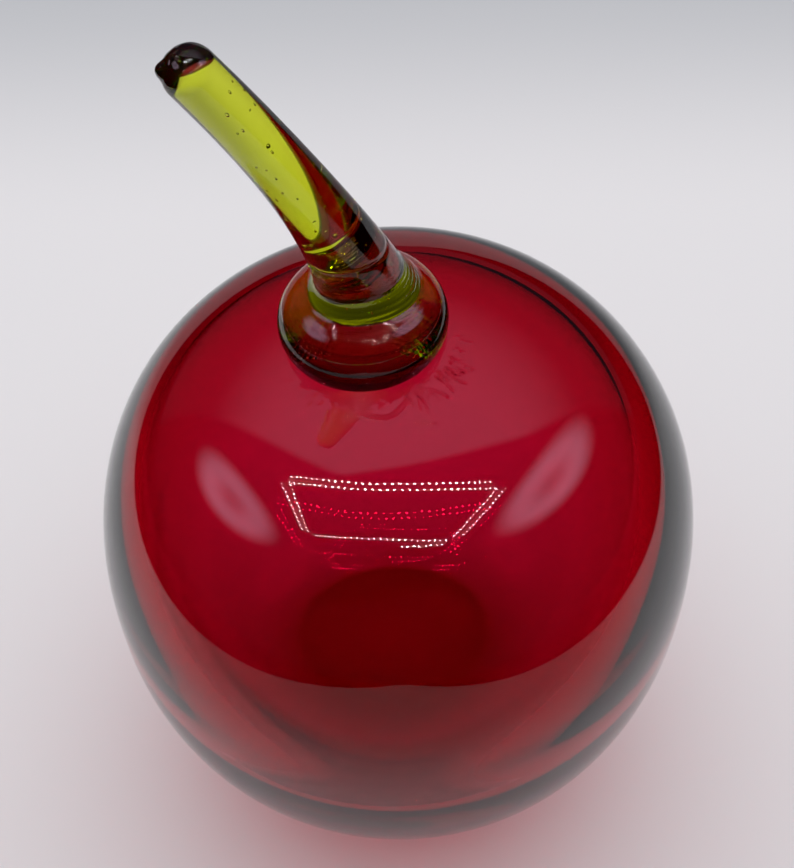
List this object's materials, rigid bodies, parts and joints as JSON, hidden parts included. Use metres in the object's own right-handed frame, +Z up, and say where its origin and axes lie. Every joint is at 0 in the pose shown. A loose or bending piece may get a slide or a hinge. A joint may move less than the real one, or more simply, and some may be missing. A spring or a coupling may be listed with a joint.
{
  "type": "art glass apple",
  "caption": "Hand-blown hollow glass apple: clear outer glass over a sealed ruby bubble, with a curved green stem, standing on a ground flat base.",
  "frame": {"origin": "middle of the ground flat face under the apple", "axes": "+Z up through the apple's axis, -X towards the side that the stem leans to, +Y to the back"},
  "size_m": [0.088, 0.088, 0.1402],
  "materials": {
    "clear_glass": "fire-polished clear crystal",
    "ruby_glass": "fire-polished ruby red",
    "green_glass": "fire-polished yellow green with seed bubbles"
  },
  "bodies": {
    "root": {"clear_casing": "clear_glass", "ruby_bubble": "ruby_glass", "green_stem": "green_glass"}
  },
  "joints": []
}
